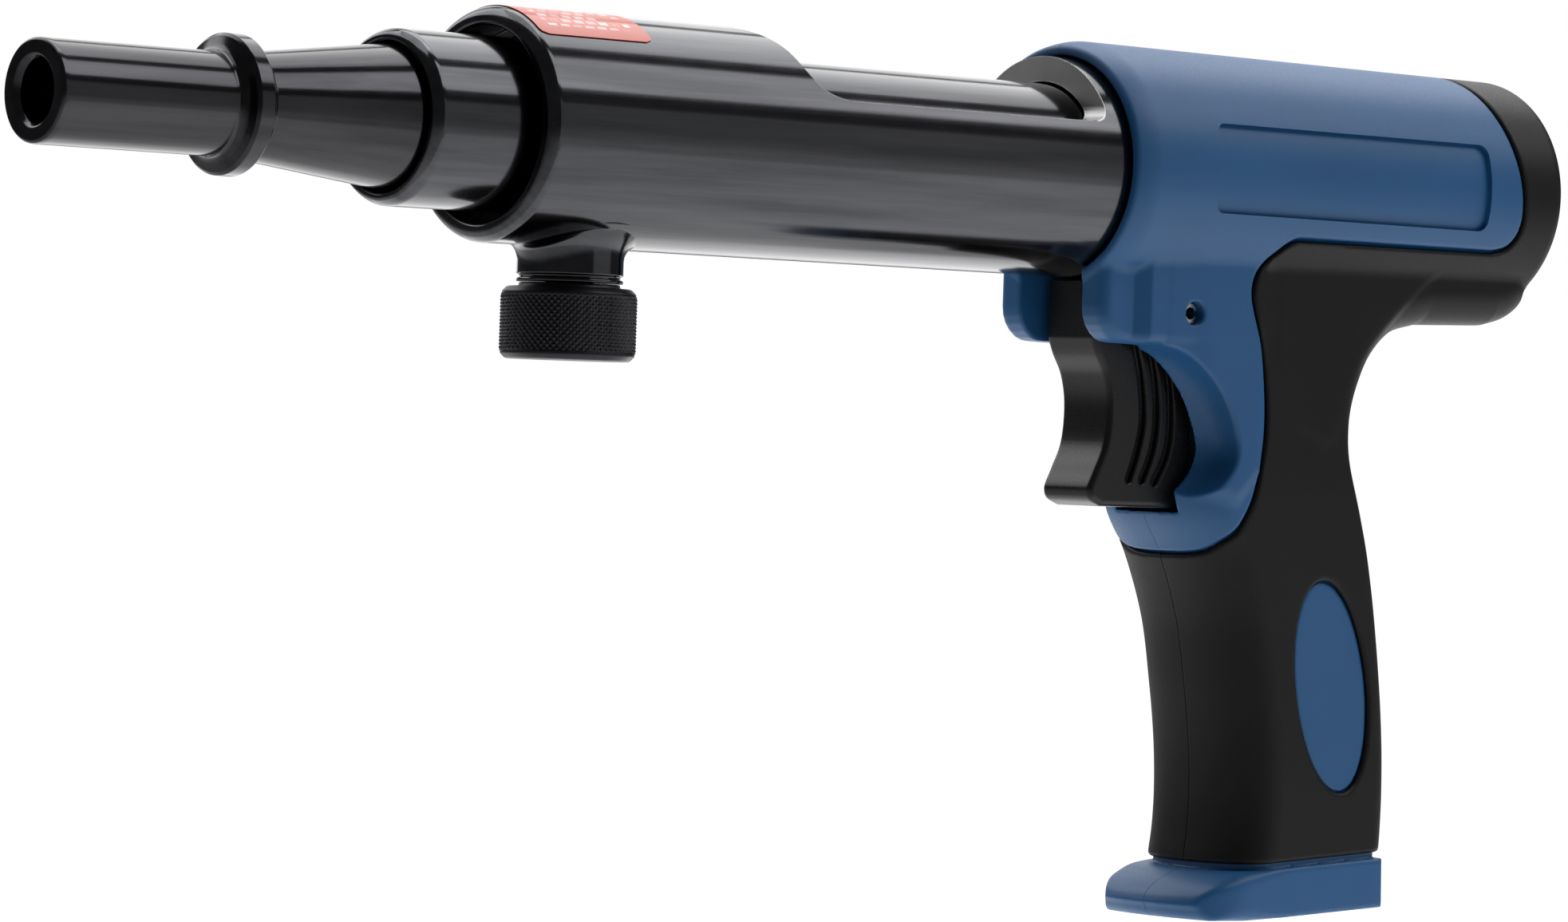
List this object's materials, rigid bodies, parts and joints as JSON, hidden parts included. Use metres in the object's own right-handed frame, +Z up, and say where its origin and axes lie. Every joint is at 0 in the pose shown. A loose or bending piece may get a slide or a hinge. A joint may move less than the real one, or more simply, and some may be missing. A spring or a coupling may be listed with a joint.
{
  "type": "hand-held fastening tool",
  "caption": "Pistol-grip fastening tool with a sliding nose barrel in a slotted steel housing tube, knurled stop knob, sprung trigger and overmoulded grip.",
  "frame": {"origin": "middle of the hand grip, on the tool's middle plane", "axes": "+X forward out of the muzzle, +Y to the tool's left side, +Z up from the grip towards the barrel"},
  "size_m": [0.338, 0.0466, 0.1608],
  "materials": {
    "black_steel": "glossy black oxide",
    "bright_steel": "ground bright steel",
    "spring_steel": "oiled spring wire",
    "blue_plastic": "satin moulded, fine spark texture",
    "soft_black": "soft-touch matte overmould",
    "trigger_black": "semi-gloss moulded",
    "red_label": "printed film",
    "buffer_rubber": "dense rubber",
    "cap_black": "satin moulded"
  },
  "bodies": {
    "frame": {"housing_tube": "black_steel", "tube_label": "red_label", "barrel_spring": "spring_steel", "breech_block": "bright_steel", "firing_pin_spring": "spring_steel", "sear_pin": "bright_steel", "sear_spring": "spring_steel", "spring_seat": "bright_steel", "rear_cap": "cap_black", "trigger_spring": "spring_steel", "trigger_guide_pin": "bright_steel", "housing_screw_1": "black_steel", "housing_screw_2": "black_steel", "housing_screw_3": "black_steel", "housing_screw_4": "black_steel", "housing_screw_5": "black_steel", "housing_shell_left": "blue_plastic", "housing_shell_right": "blue_plastic", "grip_skin_left": "soft_black", "grip_skin_right": "soft_black"},
    "barrel_group": {"barrel": "black_steel", "muzzle_guide": "black_steel", "guide_retaining_ring": "spring_steel", "buffer_ring_front": "buffer_rubber", "buffer_ring_rear": "buffer_rubber"},
    "piston_group": {"piston": "bright_steel", "piston_ring_1": "spring_steel", "piston_ring_2": "spring_steel"},
    "stop_pin_body": {"stop_pin": "bright_steel"},
    "knob_body": {"stop_knob": "black_steel"},
    "firing_pin_body": {"firing_pin": "bright_steel"},
    "trigger_body": {"trigger": "trigger_black", "trigger_bar": "bright_steel"},
    "sear_body": {"sear": "bright_steel"}
  },
  "joints": [
    {"name": "barrel_slide", "type": "slide", "parent": "frame", "child": "barrel_group", "axis": [1, 0, 0], "range_m": [-0.015, 0.07], "deforming": ["barrel_spring"]},
    {"name": "piston_drive", "type": "slide", "parent": "barrel_group", "child": "piston_group", "axis": [1, 0, 0], "range_m": [0, 0.099]},
    {"name": "stop_pin_out", "type": "slide", "parent": "frame", "child": "stop_pin_body", "axis": [0, 0, -1], "range_m": [0, 0.006]},
    {"name": "knob_turn", "type": "hinge", "parent": "stop_pin_body", "child": "knob_body", "pos_m": [0.172, 0, 0.062], "axis": [0, 0, 1], "range_deg": [0, 90]},
    {"name": "firing_pin_cock", "type": "slide", "parent": "frame", "child": "firing_pin_body", "axis": [-1, 0, 0], "range_m": [0, 0.01], "stiffness_N_per_m": 1200, "springref_m": -0.01, "deforming": ["firing_pin_spring"]},
    {"name": "trigger_pull", "type": "slide", "parent": "frame", "child": "trigger_body", "axis": [-1, 0, 0], "range_m": [0, 0.006], "stiffness_N_per_m": 1500, "springref_m": -0.004, "deforming": ["trigger_spring"]},
    {"name": "sear_tilt", "type": "hinge", "parent": "frame", "child": "sear_body", "pos_m": [-0.01, 0, 0.083], "axis": [0, 1, 0], "range_deg": [0, 24.2], "deforming": ["sear_spring"]}
  ],
  "couplings": [
    {"joint": "sear_tilt", "follows": "trigger_pull", "rad_per_m": 70}
  ]
}
